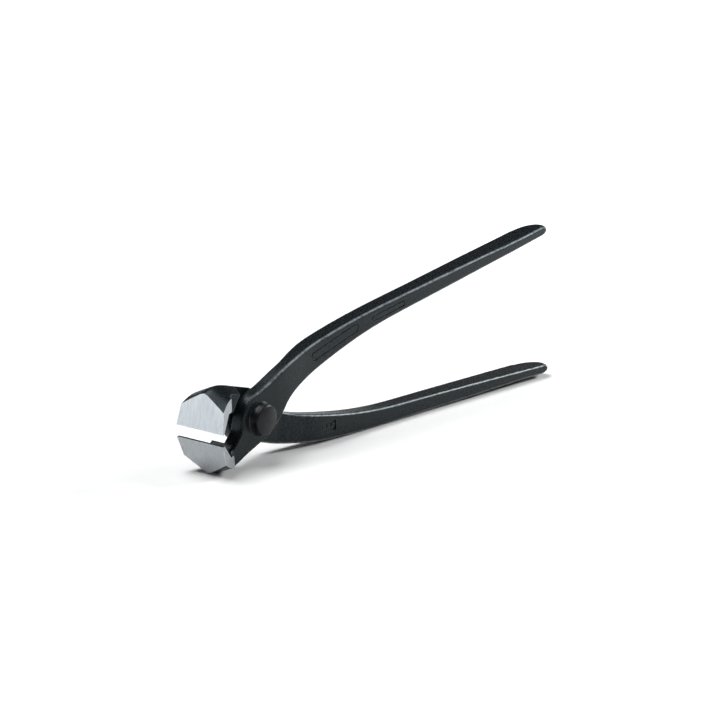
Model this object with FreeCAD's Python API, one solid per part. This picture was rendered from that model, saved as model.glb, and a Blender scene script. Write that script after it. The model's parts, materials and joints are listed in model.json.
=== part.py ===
import FreeCAD, Part
import math
import os
from FreeCAD import Vector

# Concreter's end-cutting nippers. Two forged levers cross at a plain lap joint and turn on one rivet.
# Both levers come from the same forging: one is the other turned half a turn about the long axis.
# Drawn in millimetres with the jaws closed, pivot at the origin, X towards the handles, Z up,
# Y along the rivet, and the rivet's big head on the -Y side. At the end the jaws are opened a little
# and the tool is set down on its lower jaw and lower handle, with the middle of its footprint at the origin.

# Driving dimensions
JAW_REACH = 27.35            # pivot to the cutting edges
HANDLE_REACH = 194.6         # pivot to the handle tips
JAW_HALF_WIDTH = 11.55       # half of the cutting edge's length
JOINT_HALF = 6.0             # thickness of one lever in the lap joint
LAP_GAP = 0.1                # clearance between the two lap faces
DISC_RADIUS = 10.2           # free edge of the lap around the rivet, towards the jaws
POCKET_RADIUS = 16.2         # recess that the other lever's disc turns in
REST_OPENING = 9.56          # angle between the levers as the tool stands
STAND_PITCH = 5.006          # tool tipped up towards the handles, resting on lower jaw and lower handle

# Jaw
LAND = 1.0                   # flat left on the meeting face behind the cutting edge
BEVEL_LEAN = 10.5            # front bevel, from square to the long axis
RAMP_ANGLE = 55.0            # inside face of the jaw, from the long axis
RAMP_DROP = 6.36             # how far the inside face falls from the meeting face
APEX_DEPTH = 13.3            # cutting edge to the point of the bevel
ROOF_ROUNDING = 1.2          # softness of the ridge along the outer faces
SIDE_TAPER = 0.283           # how fast each cheek narrows towards the joint
SIDE_DRAFT = 0.08            # how fast each cheek narrows away from the cutting edge
CHEEK_BACK = -19.3           # back edge of the cheeks
SHOULDER_END = -16.0         # where the shoulder arch reaches the head

# Rivet
SHANK_RADIUS = 4.0
SHANK_CLEARANCE = 0.05
HEAD_RADIUS = 5.8
HEAD_SKIRT_RADIUS = 6.7
HEAD_HEIGHT = 3.45
HEAD_DOME = 0.75
HEAD_RIM = 0.8               # rounding of the head's rim
SKIRT_HEIGHT = 1.5           # flare at the foot of the head
SKIRT_SWELL = 0.12
TAIL_RADIUS = 6.2
TAIL_HEIGHT = 1.7

# Details
TIP_EGG = (16.0, 6.9, 3.2)   # half-axes of the egg shape that rounds each handle tip
TIP_LEAN = 1.2               # nose of the egg, off the middle of the handle
TIP_HEIGHT = 15.1            # middle of the handle tip above the long axis, jaws closed
EDGE_ROUNDING = 1.1          # edges of the handles, the lap's disc and the throat
PANELS = [                   # grooved blank labels of the front lever: ends of the middle line, half width
    ((36.0, 11.8), (62.0, 14.5), 1.9),
    ((73.5, 14.6), (92.0, 14.7), 1.3),
]
GROOVE_FLOOR = -3.35
GROOVE_WIDTH = 0.6
PAD_MIDDLE = (43.3, -12.1)   # sunken pad of the rear lever, with its row of raised dots
PAD_HALF_LENGTH = 4.3
PAD_HALF_HEIGHT = 2.1
PAD_FLOOR = -3.2
DOT_RADIUS = 0.9
DOT_SPACING = 2.7
DOT_HEIGHT = 0.35
DOT_ROOT = 0.5               # depth that a dot reaches into the metal under the pad

BLANK_END = 200.0            # the handles are drawn a little long and then given round tips
BLANK_END_HALF_WIDTH = 5.5
HANDLE_ROOT = 11.0           # where the front face leaves the lap and narrows into the handle
LAP_END = 16.5               # where the lap face turns into the back of the handle
STEP_BACK = -8.0             # step between the lap face and the jaw's full thickness
BIG = 60.0                   # larger than anything it cuts

APEX = (-JAW_REACH + APEX_DEPTH * math.tan(math.radians(BEVEL_LEAN)), -APEX_DEPTH)
RAMP_END = (-JAW_REACH + LAND + RAMP_DROP / math.tan(math.radians(RAMP_ANGLE)), -RAMP_DROP)


def in_side_view(x, z):
    return Vector(x, 0, z)


def in_plan(x, y):
    return Vector(x, y, 0)


def line(a, b):
    return Part.LineSegment(a, b).toShape()


def curve(points, start=None, end=None):
    spline = Part.BSplineCurve()
    if start is not None and end is not None:
        spline.interpolate(Points=points, InitialTangent=start, FinalTangent=end)
    else:
        spline.interpolate(Points=points)
    return spline.toShape()


def face_of(edges):
    return Part.Face(Part.Wire(edges))


def side_outline():
    """The lever's outline seen along the rivet: handle up to the right, jaw down to the left."""
    inner = [(BLANK_END, 13.4), (180, 13.0), (140, 12.2), (100, 11.6), (76, 11.0), (50, 8.3), (36, 6.0),
             (25, 3.8), (17, 0.6), (12, -3.6), (6, -7.4), (1, -10.8), (-4, -14.5)]
    disc_start = math.radians(165)
    disc_end = math.radians(98)
    disc_middle = (disc_start + disc_end) / 2
    arc_points = [in_side_view(DISC_RADIUS * math.cos(a), DISC_RADIUS * math.sin(a))
                  for a in (disc_start, disc_middle, disc_end)]
    floor = [RAMP_END, (-19.4, -6.5), (-15.4, -4.9), (-12.4, -2.4), (arc_points[0].x, arc_points[0].z)]
    outer = [(arc_points[2].x, arc_points[2].z), (6.5, 11.7), (15.6, 14.2), (24.5, 15.7), (50, 17.8),
             (75, 18.4), (102, 18.1), (143, 17.6), (180, 17.1), (BLANK_END, 16.8)]
    edge = in_side_view(-JAW_REACH, 0)
    land_end = in_side_view(-JAW_REACH + LAND, 0)
    below = -APEX_DEPTH - 6
    bevel_foot = in_side_view(-JAW_REACH - below * math.tan(math.radians(BEVEL_LEAN)), below)
    up_disc = Vector(math.sin(disc_start), 0, -math.cos(disc_start))
    along_disc = Vector(math.sin(disc_end), 0, -math.cos(disc_end))
    ramp = Vector(math.cos(math.radians(RAMP_ANGLE)), 0, -math.sin(math.radians(RAMP_ANGLE)))
    return face_of([
        curve([in_side_view(*p) for p in inner]),
        line(in_side_view(*inner[-1]), in_side_view(inner[-1][0], below)),
        line(in_side_view(inner[-1][0], below), bevel_foot),
        line(bevel_foot, edge),
        line(edge, land_end),
        line(land_end, in_side_view(*RAMP_END)),
        curve([in_side_view(*p) for p in floor], ramp, up_disc),
        Part.Arc(*arc_points).toShape(),
        curve([in_side_view(*p) for p in outer], along_disc, Vector(1, 0, -0.04)),
        line(in_side_view(*outer[-1]), in_side_view(*inner[0])),
    ])


def plan_outline():
    """The lever's outline seen from above: cheeks, neck, lap and handle, front of the tool at -Y."""
    lap = -LAP_GAP / 2
    front_end = -JAW_REACH - 2
    front_half_width = JAW_HALF_WIDTH + 2
    front_handle = [(HANDLE_ROOT, -JOINT_HALF), (20, -5.5), (32, -4.2), (46, -3.8), (95, -4.1), (150, -4.9),
                    (BLANK_END, -BLANK_END_HALF_WIDTH)]
    back_handle = [(BLANK_END, BLANK_END_HALF_WIDTH), (150, 4.9), (95, 4.1), (46, 3.8), (34, 3.2), (24, 1.2),
                   (LAP_END, lap)]
    along = Vector(1, 0, 0)

    def shoulder(side):
        """Concave quarter round from the neck up to the back of one cheek, drawn from the cheek inwards."""
        radius = SHOULDER_END - CHEEK_BACK
        centre_y = JOINT_HALF + radius
        lean = radius * math.sqrt(0.5)
        middle = in_plan(SHOULDER_END - lean, side * (centre_y - lean))
        foot = in_plan(CHEEK_BACK, side * centre_y)
        return foot, Part.Arc(foot, middle, in_plan(SHOULDER_END, side * JOINT_HALF)).toShape()

    front_foot, front_shoulder = shoulder(-1)
    back_foot, back_shoulder = shoulder(1)
    return face_of([
        line(in_plan(front_end, front_half_width), in_plan(front_end, -front_half_width)),
        line(in_plan(front_end, -front_half_width), in_plan(CHEEK_BACK, -front_half_width)),
        line(in_plan(CHEEK_BACK, -front_half_width), front_foot),
        front_shoulder,
        line(in_plan(SHOULDER_END, -JOINT_HALF), in_plan(HANDLE_ROOT, -JOINT_HALF)),
        curve([in_plan(*p) for p in front_handle], along, along),
        line(in_plan(*front_handle[-1]), in_plan(*back_handle[0])),
        curve([in_plan(*p) for p in back_handle], -along, -along),
        line(in_plan(LAP_END, lap), in_plan(STEP_BACK, lap)),
        line(in_plan(STEP_BACK, lap), in_plan(STEP_BACK, JOINT_HALF)),
        line(in_plan(STEP_BACK, JOINT_HALF), in_plan(SHOULDER_END, JOINT_HALF)),
        back_shoulder,
        line(back_foot, in_plan(CHEEK_BACK, front_half_width)),
        line(in_plan(CHEEK_BACK, front_half_width), in_plan(front_end, front_half_width)),
    ])


def below_roof():
    """Everything beyond the ridged outer faces of the jaw and neck: a smooth sheet pushed downwards."""
    first, spacing = -33, 4
    ridge_heights = (-8.8, -11.5, -13.25, -14.75, -15.0, -14.3, -13.25, -12.25, -11.2, -10.3, -9.7, -9.4,
                     -9.2)
    falls = (0.52, 0.52, 0.51, 0.455, 0.47, 0.52, 0.53, 0.50, 0.46, 0.42, 0.38, 0.35, 0.33)
    rows = []
    for index, (ridge, fall) in enumerate(zip(ridge_heights, falls)):
        x = first + index * spacing
        rows.append([Vector(x, y, ridge + fall * (math.hypot(y, ROOF_ROUNDING) - ROOF_ROUNDING))
                     for y in range(-16, 17, 2)])
    sheet = Part.BSplineSurface()
    sheet.interpolate(rows)
    return sheet.toShape().extrude(Vector(0, 0, -BIG))


def cheek_side(sign):
    """What lies outside one cheek's ground side, which leans in towards the joint and away from the edge."""
    reach = Part.makeBox(CHEEK_BACK + 2 + 32, 4 * JAW_HALF_WIDTH, 50, Vector(-32, -2 * JAW_HALF_WIDTH, -25))
    outside = Part.makeBox(2 * BIG, 2 * BIG, BIG, Vector(-BIG, -BIG, 0))
    normal = Vector(SIDE_TAPER, sign, -SIDE_DRAFT)
    corner = Vector(-JAW_REACH, sign * JAW_HALF_WIDTH, 0)
    outside.Placement = FreeCAD.Placement(corner, FreeCAD.Rotation(Vector(0, 0, 1), normal))
    return outside.common(reach)


def lever():
    side = side_outline()
    side.translate(Vector(0, -20, 0))
    body = side.extrude(Vector(0, 40, 0))
    plan = plan_outline()
    plan.translate(Vector(0, 0, -BIG))
    body = body.common(plan.extrude(Vector(0, 0, 2 * BIG)))
    body = body.cut(below_roof())
    for sign in (-1, 1):
        body = body.cut(cheek_side(sign))
    pocket = Part.makeCylinder(POCKET_RADIUS, 3 * JOINT_HALF, Vector(0, -LAP_GAP / 2, 0), Vector(0, 1, 0))
    return body.cut(pocket).removeSplitter()


def round_edges(body):
    """Round the edges that run the whole length of the lever, the lap's disc and the back of the throat."""
    chosen = []
    for edge in body.Edges:
        middle = edge.valueAt((edge.FirstParameter + edge.LastParameter) / 2)
        along_handle = edge.Length > 50
        along_disc = middle.x < -2 and middle.z > 5 and middle.y < -JOINT_HALF / 2 and edge.Length > 5
        behind_throat = SHOULDER_END < middle.x < -14 and middle.y > JOINT_HALF / 2 and middle.z > -6
        if along_handle or along_disc or behind_throat:
            chosen.append(edge)
    return body.makeFillet(EDGE_ROUNDING, chosen)


def round_tip(body, side):
    """Trim the handle's end to an egg shape whose nose leans to one side."""
    length, half_width, half_height = TIP_EGG
    middle = Vector(HANDLE_REACH - length, side * TIP_LEAN, TIP_HEIGHT)
    stretch = FreeCAD.Matrix()
    stretch.scale(Vector(length, half_width, half_height))
    egg = Part.makeSphere(1.0).transformGeometry(stretch)
    egg.translate(middle)
    behind = Part.makeBox(BIG, BIG, BIG, Vector(middle.x, -BIG / 2, -BIG / 2))
    return body.cut(behind.cut(egg))


def stadium(start, end, half_width):
    """A flat shape with round ends between two points of the side view."""
    along = (end - start).normalize()
    across = Vector(-along.z, 0, along.x) * half_width
    beyond_start = start - along * half_width
    beyond_end = end + along * half_width
    return face_of([
        line(start + across, end + across),
        Part.Arc(end + across, beyond_end, end - across).toShape(),
        line(end - across, start - across),
        Part.Arc(start - across, beyond_start, start + across).toShape(),
    ])


def sunken_panel(outline, floor_y):
    """What is cut away from the front face above the given floor."""
    outline.translate(Vector(0, floor_y - 10, 0))
    return outline.extrude(Vector(0, 10, 0))


def bored(body, radius):
    """Drill the pivot hole through a lever."""
    return body.cut(Part.makeCylinder(radius, 4 * JOINT_HALF, Vector(0, -2 * JOINT_HALF, 0), Vector(0, 1, 0)))


def front_lever(blank):
    """Upper handle and lower jaw, tight on the rivet, with two blank labels grooved into its handle."""
    body = bored(round_tip(blank, -1), SHANK_RADIUS)
    for first_end, second_end, half_width in PANELS:
        ends = in_side_view(*first_end), in_side_view(*second_end)
        groove = sunken_panel(stadium(*ends, half_width), GROOVE_FLOOR)
        label = sunken_panel(stadium(*ends, half_width - GROOVE_WIDTH), GROOVE_FLOOR)
        body = body.cut(groove.cut(label))
    return body


def rear_lever(blank):
    """Lower handle and upper jaw, free to turn on the rivet, with a small pad of raised dots."""
    body = round_tip(blank, 1)
    body.rotate(Vector(0, 0, 0), Vector(1, 0, 0), 180)
    body = bored(body, SHANK_RADIUS + SHANK_CLEARANCE)
    left, right = PAD_MIDDLE[0] - PAD_HALF_LENGTH, PAD_MIDDLE[0] + PAD_HALF_LENGTH
    low, high = PAD_MIDDLE[1] - PAD_HALF_HEIGHT, PAD_MIDDLE[1] + PAD_HALF_HEIGHT
    corners = [in_side_view(x, z) for x, z in ((left, low), (right, low), (right, high), (left, high))]
    frame = face_of([line(corners[i - 1], corners[i]) for i in range(4)])
    body = body.cut(sunken_panel(frame, PAD_FLOOR))
    for column in (-1, 0, 1):
        root = Vector(PAD_MIDDLE[0] + column * DOT_SPACING, PAD_FLOOR + DOT_ROOT, PAD_MIDDLE[1])
        body = body.fuse(Part.makeCylinder(DOT_RADIUS, DOT_ROOT + DOT_HEIGHT, root, Vector(0, -1, 0)))
    return body


def rivet():
    """Shank through both levers, a tall domed head in front and a low formed head behind."""
    head_face = -JOINT_HALF - HEAD_HEIGHT
    tail_face = JOINT_HALF + SHANK_CLEARANCE
    round_part = 0.3 * HEAD_RIM

    def at(radius, y):
        return Vector(radius, y, 0)

    def cap(foot_radius, foot_y, height):
        """Arc of a true sphere from the axis out to the foot; a positive height rises towards +Y."""
        ball = (foot_radius ** 2 + height ** 2) / (2 * height)
        centre_y = foot_y + height - ball
        half_way = math.asin(foot_radius / abs(ball)) / 2
        middle = at(abs(ball) * math.sin(half_way), centre_y + ball * math.cos(half_way))
        return Part.Arc(at(0, foot_y + height), middle, at(foot_radius, foot_y)).toShape()

    return face_of([
        cap(HEAD_RADIUS - HEAD_RIM, head_face, -HEAD_DOME),
        Part.Arc(at(HEAD_RADIUS - HEAD_RIM, head_face), at(HEAD_RADIUS - round_part, head_face + round_part),
                 at(HEAD_RADIUS, head_face + HEAD_RIM)).toShape(),
        Part.Arc(at(HEAD_RADIUS, head_face + HEAD_RIM),
                 at(HEAD_RADIUS + SKIRT_SWELL, -JOINT_HALF - SKIRT_HEIGHT),
                 at(HEAD_SKIRT_RADIUS, -JOINT_HALF)).toShape(),
        line(at(HEAD_SKIRT_RADIUS, -JOINT_HALF), at(SHANK_RADIUS, -JOINT_HALF)),
        line(at(SHANK_RADIUS, -JOINT_HALF), at(SHANK_RADIUS, tail_face)),
        line(at(SHANK_RADIUS, tail_face), at(TAIL_RADIUS, tail_face)),
        cap(TAIL_RADIUS, tail_face, TAIL_HEIGHT),
        line(at(0, tail_face + TAIL_HEIGHT), at(0, head_face - HEAD_DOME)),
    ]).revolve(Vector(0, 0, 0), Vector(0, 1, 0), 360)


def stand_up(pieces):
    """Set the opened tool down on its lower jaw and lower handle, footprint centred on the origin."""
    for piece in pieces.values():
        piece.rotate(Vector(0, 0, 0), Vector(0, 1, 0), -STAND_PITCH)
    whole = Part.makeCompound(list(pieces.values())).optimalBoundingBox(False)
    shift = Vector(-(whole.XMin + whole.XMax) / 2, -(whole.YMin + whole.YMax) / 2, -whole.ZMin)
    for piece in pieces.values():
        piece.translate(shift)


blank = round_edges(lever())
pieces = {"front_lever": front_lever(blank), "rear_lever": rear_lever(blank), "rivet": rivet()}
pieces["front_lever"].rotate(Vector(0, 0, 0), Vector(0, 1, 0), -REST_OPENING / 2)
pieces["rear_lever"].rotate(Vector(0, 0, 0), Vector(0, 1, 0), REST_OPENING / 2)
stand_up(pieces)
os.makedirs("parts", exist_ok=True)
for name, shape in pieces.items():
    shape.Solids[0].exportStep("parts/" + name + ".step")
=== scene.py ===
import json
import math

import bpy
from mathutils import Matrix, Vector


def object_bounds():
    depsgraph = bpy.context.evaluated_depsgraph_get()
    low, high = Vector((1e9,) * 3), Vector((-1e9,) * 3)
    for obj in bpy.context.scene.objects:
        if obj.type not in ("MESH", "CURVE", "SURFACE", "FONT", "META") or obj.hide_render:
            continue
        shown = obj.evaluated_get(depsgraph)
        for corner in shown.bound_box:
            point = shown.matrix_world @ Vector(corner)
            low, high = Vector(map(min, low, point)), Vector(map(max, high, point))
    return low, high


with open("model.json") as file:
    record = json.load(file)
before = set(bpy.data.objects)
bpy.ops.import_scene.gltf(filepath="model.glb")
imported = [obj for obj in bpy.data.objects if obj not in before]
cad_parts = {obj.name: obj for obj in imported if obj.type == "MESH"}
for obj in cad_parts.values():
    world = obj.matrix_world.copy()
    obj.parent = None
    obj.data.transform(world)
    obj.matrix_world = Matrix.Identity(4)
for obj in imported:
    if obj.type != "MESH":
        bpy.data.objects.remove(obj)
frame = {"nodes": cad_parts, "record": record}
cad_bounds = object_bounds()

# Camera: a long lens to the left of the tool and a little above it, turned in degrees
CAMERA_PLACE = (-0.7398, -0.5711, 0.2487)
CAMERA_TURN = (76.530, -1.277, -51.374)
CAMERA_LENS = 120.0
CAMERA_SENSOR = 36.0
CAMERA_NEAR = 0.01

# Ground faces of one jaw, on a lever that lies along the long axis with the jaws shut; angles in degrees
BEVEL_LEAN = 10.5
SIDE_TAPER = 0.283
SIDE_DRAFT = 0.08
FRONT_LEVER_TURN = -9.786     # how far each lever has turned about Y from that position
REAR_LEVER_TURN = -0.226
SAME_DIRECTION = 0.9998       # cosine between two directions that count as one

# Places along the tool, counted from the pivot
PIVOT_X = frame["record"]["behaviour"]["joints"][0]["pos_m"][0]
JAW_END_X = PIVOT_X - 0.0143                        # every ground face lies left of this
JOINT_ZONE = (PIVOT_X - 0.0083, PIVOT_X - 0.0003)   # from the back of the jaws to the lap

# Noise: sizes in lumps per metre, and the values that most of a noise lies between
MOST_OF_NOISE = (0.30, 0.70)
BLOTCH_NOISE = (0.35, 0.65)
WEAR_PATCHES = 420.0
# size of the patches that break up the painted ridge highlight, like rubbed wear
RUBBED_HIGHLIGHT_PATCHES = 500.0
BLACK_GRAIN = 2000.0
BLACK_BLOTCHES = 120.0
STEEL_SCRATCHES = 4200.0
STEEL_STREAKS = 1300.0
STEEL_CLOUDS = 240.0
SCRATCH_STRETCH = (1.0, 1.0, 0.07)
RIVET_GRAIN = 700.0
RIVET_CLOUDS = 260.0

# Wear, and the painted highlight along the ridges: the least and most of each, then the noise values or the
# cosines that give them
EDGE_WIDTH = 0.0005           # width of the worn stripe beside an edge
EDGE_WEAR = (0.0, 1.0, 0.995, 0.90)
EDGE_PATCHES = (0.25, 1.0, 0.35, 0.60)
# the painted ridge highlight: strongest half way between the side faces and the top or bottom faces
RIDGE_OFF_TOP = (0.0, 1.0, 0.25, 0.60)
RIDGE_OFF_SIDE = (1.0, 0.0, 0.80, 0.985)
RIDGE_PATCHES = (0.35, 1.0, 0.38, 0.58)
BLOTCH_STRENGTH = (0.0, 0.45)

# Black finish of the levers
NEAR_BLACK = (0.0044, 0.0060, 0.0067)
DARK_GREY = (0.0115, 0.0150, 0.0168)
MIDDLE_GREY = (0.0070, 0.0094, 0.0105)
# painted highlight along the rounded ridges behind the jaws, partly also rubbed wear
RUBBED_HIGHLIGHT_GREY = (0.230, 0.250, 0.260)
WORN_GREY = (0.075, 0.085, 0.090)
BLACK_ROUGHNESS = (0.22, 0.34)
BLACK_SPECULAR = 0.17
COOL_TINT = (0.78, 0.94, 1.0)    # the black finish reflects a little blue-green

# Bare steel of the ground faces
STEEL_DARK = (0.325, 0.345, 0.36)
STEEL_LIGHT = (0.405, 0.43, 0.45)
STEEL_CLOUD = (0.375, 0.395, 0.41)
STEEL_WORN = (0.58, 0.59, 0.60)
STEEL_ROUGHNESS = (0.30, 0.46)

# Rivet
RIVET_DARK = (0.004, 0.005, 0.0055)
RIVET_LIGHT = (0.010, 0.012, 0.013)
RIVET_WORN = (0.05, 0.056, 0.06)
RIVET_ROUGHNESS = (0.28, 0.38)
RIVET_SPECULAR = 0.20

# Studio
COOL_WHITE = (0.93, 0.975, 1.0)
FLOOR_SIZE = 80.0
FLOOR_WHITE = (0.95, 0.915, 0.895)
FLOOR_ROUGHNESS = 0.9
FLOOR_SPECULAR = 0.1
GLOW = 1.2                    # light that the far floor gives off, like the foot of a lit backdrop
GLOW_REACH = 0.75             # distance from the tool's middle at which the glow is full
GLOW_FADE = 0.6               # share of that distance, counted inwards, over which it fades to nothing
SKY = [(0.0, 0.9), (0.05, 0.45), (0.16, 0.06), (1.0, 0.02)]    # brightness from eye level up to overhead
LAMPS = {                     # place, aim, size and power
    "overhead": ((-0.20, 0.32, 1.0), (0, 0, 0.03), (0.9, 0.7), 13.6),
    "ridge_strip": ((0.95, -0.42, 0.55), (0, 0, 0.03), (0.42, 0.26), 11.5),
    "left_card": ((-0.9, 0.68, 0.20), (-0.1, 0, 0.03), (0.9, 0.45), 2.5),
}


def node_tree(name):
    material = bpy.data.materials.new(name)
    material.use_nodes = True
    tree = material.node_tree
    return material, tree.nodes, tree.links, tree.nodes["Principled BSDF"]


def noise(nodes, links, vector, scale, detail=3.0, roughness=0.6):
    node = nodes.new("ShaderNodeTexNoise")
    node.inputs["Scale"].default_value = scale
    node.inputs["Detail"].default_value = detail
    node.inputs["Roughness"].default_value = roughness
    links.new(vector, node.inputs["Vector"])
    return node.outputs["Fac"]


def ramp(nodes, links, value, stops):
    node = nodes.new("ShaderNodeValToRGB")
    elements = node.color_ramp.elements
    while len(elements) < len(stops):
        elements.new(0.5)
    for element, (place, colour) in zip(elements, stops):
        element.position = place
        element.color = (*colour, 1.0)
    links.new(value, node.inputs["Fac"])
    return node.outputs["Color"]


def bump(nodes, links, height, distance, strength, under=None):
    node = nodes.new("ShaderNodeBump")
    node.inputs["Distance"].default_value = distance
    node.inputs["Strength"].default_value = strength
    links.new(height, node.inputs["Height"])
    if under is not None:
        links.new(under, node.inputs["Normal"])
    return node.outputs["Normal"]


def number(nodes, links, value, low, high, start, end):
    """Stretch a value from the range start..end to the range low..high."""
    node = nodes.new("ShaderNodeMapRange")
    node.inputs["From Min"].default_value = start
    node.inputs["From Max"].default_value = end
    node.inputs["To Min"].default_value = low
    node.inputs["To Max"].default_value = high
    links.new(value, node.inputs["Value"])
    return node.outputs["Result"]


def blend(nodes, links, share, first, second):
    """Mix two colours; each may be a plain colour or the output of another node."""
    node = nodes.new("ShaderNodeMix")
    node.data_type = "RGBA"
    links.new(share, node.inputs["Factor"])
    first_colour, second_colour = node.inputs[6], node.inputs[7]
    for socket, colour in ((first_colour, first), (second_colour, second)):
        if isinstance(colour, tuple):
            socket.default_value = (*colour, 1.0)
        else:
            links.new(colour, socket)
    mixed_colour = node.outputs[2]
    return mixed_colour


def maths(nodes, links, operation, *values):
    node = nodes.new("ShaderNodeMath")
    node.operation = operation
    for socket, value in zip(node.inputs, values):
        links.new(value, socket)
    return node.outputs[0]


def part_of(nodes, links, vector, axis):
    node = nodes.new("ShaderNodeSeparateXYZ")
    links.new(vector, node.inputs["Vector"])
    return node.outputs[axis]


def worn_edges(nodes, links, place):
    """How worn the surface is: 1 on a convex or concave edge, broken up by noise, and 0 on the flat."""
    softened = nodes.new("ShaderNodeBevel")
    softened.samples = 4
    softened.inputs["Radius"].default_value = EDGE_WIDTH
    plain = nodes.new("ShaderNodeNewGeometry")
    compare = nodes.new("ShaderNodeVectorMath")
    compare.operation = "DOT_PRODUCT"
    links.new(softened.outputs["Normal"], compare.inputs[0])
    links.new(plain.outputs["Normal"], compare.inputs[1])
    edge = number(nodes, links, compare.outputs["Value"], *EDGE_WEAR)
    patches = number(nodes, links, noise(nodes, links, place, WEAR_PATCHES), *EDGE_PATCHES)
    return maths(nodes, links, "MULTIPLY", edge, patches)


def rubbed_and_highlit_ridges(nodes, links, place):
    """A painted highlight along the rounded edges behind the jaws, partly also rubbed wear: 1 half way
    round an edge, 0 on the faces.
    """
    normal = nodes.new("ShaderNodeNewGeometry").outputs["Normal"]
    sideways = maths(nodes, links, "ABSOLUTE", part_of(nodes, links, normal, "Y"))
    off_top = number(nodes, links, sideways, *RIDGE_OFF_TOP)
    off_side = number(nodes, links, sideways, *RIDGE_OFF_SIDE)
    behind_jaws = number(nodes, links, part_of(nodes, links, place, "X"), 0.0, 1.0, *JOINT_ZONE)
    lumps = noise(nodes, links, place, RUBBED_HIGHLIGHT_PATCHES, 4.0, 0.65)
    patches = number(nodes, links, lumps, *RIDGE_PATCHES)
    ridge = maths(nodes, links, "MULTIPLY", off_top, off_side)
    return maths(nodes, links, "MULTIPLY", ridge, maths(nodes, links, "MULTIPLY", behind_jaws, patches))


def blackened_steel():
    """Blasted forging with a black oxide finish: fine grain, faint blotches, satin sheen."""
    material, nodes, links, shader = node_tree("blackened_steel")
    place = nodes.new("ShaderNodeTexCoord").outputs["Object"]
    grain = noise(nodes, links, place, BLACK_GRAIN)
    blotches = noise(nodes, links, place, BLACK_BLOTCHES)
    speckled = ramp(nodes, links, grain, [(0.42, NEAR_BLACK), (0.62, DARK_GREY)])
    cover = number(nodes, links, blotches, *BLOTCH_STRENGTH, *BLOTCH_NOISE)
    shaded = blend(nodes, links, cover, speckled, MIDDLE_GREY)
    # painted highlight along the ridges behind the jaws, partly also rubbed wear
    rubbed_and_highlit = blend(nodes, links, rubbed_and_highlit_ridges(nodes, links, place), shaded, RUBBED_HIGHLIGHT_GREY)
    colour = blend(nodes, links, worn_edges(nodes, links, place), rubbed_and_highlit, WORN_GREY)
    links.new(colour, shader.inputs["Base Color"])
    links.new(number(nodes, links, grain, *BLACK_ROUGHNESS, *MOST_OF_NOISE), shader.inputs["Roughness"])
    shader.inputs["Specular IOR Level"].default_value = BLACK_SPECULAR
    shader.inputs["Specular Tint"].default_value = (*COOL_TINT, 1.0)
    links.new(bump(nodes, links, grain, 0.00012, 0.4), shader.inputs["Normal"])
    return material


def ground_steel():
    """Bare steel from the grinding belt, its fine scratches running from the cutting edge to the point."""
    material, nodes, links, shader = node_tree("ground_steel")
    place = nodes.new("ShaderNodeTexCoord").outputs["Object"]
    stretch = nodes.new("ShaderNodeMapping")
    stretch.inputs["Scale"].default_value = SCRATCH_STRETCH
    links.new(place, stretch.inputs["Vector"])
    scratches = noise(nodes, links, stretch.outputs["Vector"], STEEL_SCRATCHES)
    streaks = noise(nodes, links, stretch.outputs["Vector"], STEEL_STREAKS)
    clouds = noise(nodes, links, place, STEEL_CLOUDS, 3.0, 0.55)
    brushed = ramp(nodes, links, streaks, [(0.36, STEEL_DARK), (0.64, STEEL_LIGHT)])
    cover = number(nodes, links, clouds, *BLOTCH_STRENGTH, 0.35, 0.70)
    cloudy = blend(nodes, links, cover, brushed, STEEL_CLOUD)
    colour = blend(nodes, links, worn_edges(nodes, links, place), cloudy, STEEL_WORN)
    links.new(colour, shader.inputs["Base Color"])
    shader.inputs["Metallic"].default_value = 1.0
    links.new(number(nodes, links, scratches, *STEEL_ROUGHNESS, *MOST_OF_NOISE), shader.inputs["Roughness"])
    coarse = bump(nodes, links, streaks, 0.00004, 0.35)
    links.new(bump(nodes, links, scratches, 0.00002, 0.35, coarse), shader.inputs["Normal"])
    return material


def rivet_steel():
    """Blackened rivet, smoother and glossier than the forgings, rubbed bright along its rim."""
    material, nodes, links, shader = node_tree("rivet_steel")
    place = nodes.new("ShaderNodeTexCoord").outputs["Object"]
    grain = noise(nodes, links, place, RIVET_GRAIN, 2.0, 0.5)
    clouds = noise(nodes, links, place, RIVET_CLOUDS, 2.0, 0.5)
    clouded = ramp(nodes, links, clouds, [(0.35, RIVET_DARK), (0.65, RIVET_LIGHT)])
    colour = blend(nodes, links, worn_edges(nodes, links, place), clouded, RIVET_WORN)
    links.new(colour, shader.inputs["Base Color"])
    shader.inputs["Specular IOR Level"].default_value = RIVET_SPECULAR
    links.new(number(nodes, links, grain, *RIVET_ROUGHNESS, *MOST_OF_NOISE), shader.inputs["Roughness"])
    links.new(bump(nodes, links, grain, 0.00003, 0.3), shader.inputs["Normal"])
    return material


def ground_directions(turned_over, turn):
    """The outward directions of one jaw's ground faces, as the tool stands."""
    lean = math.radians(BEVEL_LEAN)
    found = [Vector((-math.cos(lean), 0, -math.sin(lean)))]
    for side in (-1, 1):
        found.append(Vector((SIDE_TAPER, side, -SIDE_DRAFT)).normalized())
    if turned_over:
        found = [Vector((d.x, -d.y, -d.z)) for d in found]
    turning = Matrix.Rotation(math.radians(turn), 3, "Y")
    return [turning @ direction for direction in found]


def paint_ground_faces(node, directions, ground):
    """Give the flat ground faces of one jaw the bare steel, and leave the rest black."""
    mesh = node.data
    mesh.materials.append(ground)
    bare = len(mesh.materials) - 1
    for polygon in mesh.polygons:
        if polygon.center.x > JAW_END_X:
            continue
        if max(polygon.normal.dot(direction) for direction in directions) > SAME_DIRECTION:
            polygon.material_index = bare


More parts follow.
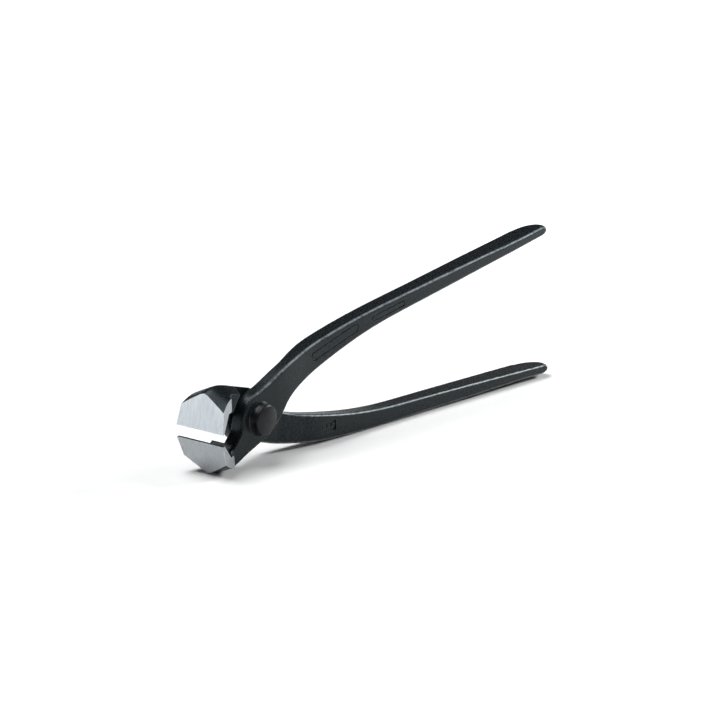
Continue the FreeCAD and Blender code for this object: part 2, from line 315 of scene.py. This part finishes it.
def paint_pieces():
    black = blackened_steel()
    ground = ground_steel()
    rivet = rivet_steel()
    for name, node in frame["nodes"].items():
        node.data.materials.clear()
        node.data.materials.append(rivet if name == "rivet" else black)
    paint_ground_faces(frame["nodes"]["front_lever"], ground_directions(False, FRONT_LEVER_TURN), ground)
    paint_ground_faces(frame["nodes"]["rear_lever"], ground_directions(True, REAR_LEVER_TURN), ground)


def area_light(name, place, aim, size, power):
    data = bpy.data.lights.new(name, "AREA")
    data.shape = "RECTANGLE"
    data.size, data.size_y = size
    data.energy = power
    data.color = COOL_WHITE
    light = bpy.data.objects.new(name, data)
    bpy.context.scene.collection.objects.link(light)
    light.location = place
    light.rotation_euler = (Vector(aim) - Vector(place)).to_track_quat("-Z", "Y").to_euler()


def floor():
    """A matt white floor under the tool, warm enough to cancel the lamps' tint, that glows further out."""
    bpy.ops.mesh.primitive_plane_add(size=FLOOR_SIZE, location=(0, 0, cad_bounds[0][2]))
    plane = bpy.context.object
    plane.name = "floor"
    material, nodes, links, shader = node_tree("floor_white")
    shader.inputs["Base Color"].default_value = (*FLOOR_WHITE, 1)
    shader.inputs["Roughness"].default_value = FLOOR_ROUGHNESS
    shader.inputs["Specular IOR Level"].default_value = FLOOR_SPECULAR
    gradient = nodes.new("ShaderNodeTexGradient")
    gradient.gradient_type = "SPHERICAL"
    reach = nodes.new("ShaderNodeMapping")
    reach.inputs["Scale"].default_value = [1 / GLOW_REACH] * 3
    links.new(nodes.new("ShaderNodeTexCoord").outputs["Object"], reach.inputs["Vector"])
    links.new(reach.outputs["Vector"], gradient.inputs["Vector"])
    shader.inputs["Emission Color"].default_value = (*COOL_WHITE, 1)
    glow = number(nodes, links, gradient.outputs["Fac"], GLOW, 0.0, 0.0, GLOW_FADE)
    links.new(glow, shader.inputs["Emission Strength"])
    plane.data.materials.append(material)


def surroundings():
    """A white room at eye level that falls off to a dark ceiling."""
    world = bpy.data.worlds.new("studio")
    bpy.context.scene.world = world
    world.use_nodes = True
    nodes, links = world.node_tree.nodes, world.node_tree.links
    height = part_of(nodes, links, nodes.new("ShaderNodeTexCoord").outputs["Generated"], "Z")
    sky = ramp(nodes, links, height, [(place, (grey, grey, grey)) for place, grey in SKY])
    links.new(sky, nodes["Background"].inputs["Color"])


def camera():
    data = bpy.data.cameras.new("camera")
    data.lens = CAMERA_LENS
    data.sensor_width = CAMERA_SENSOR
    data.clip_start = CAMERA_NEAR
    thing = bpy.data.objects.new("camera", data)
    bpy.context.scene.collection.objects.link(thing)
    thing.location = CAMERA_PLACE
    thing.rotation_euler = [math.radians(angle) for angle in CAMERA_TURN]
    bpy.context.scene.camera = thing


paint_pieces()
floor()
surroundings()
for name, (place, aim, size, power) in LAMPS.items():
    area_light(name, place, aim, size, power)
camera()
bpy.context.scene.view_settings.view_transform = "Standard"
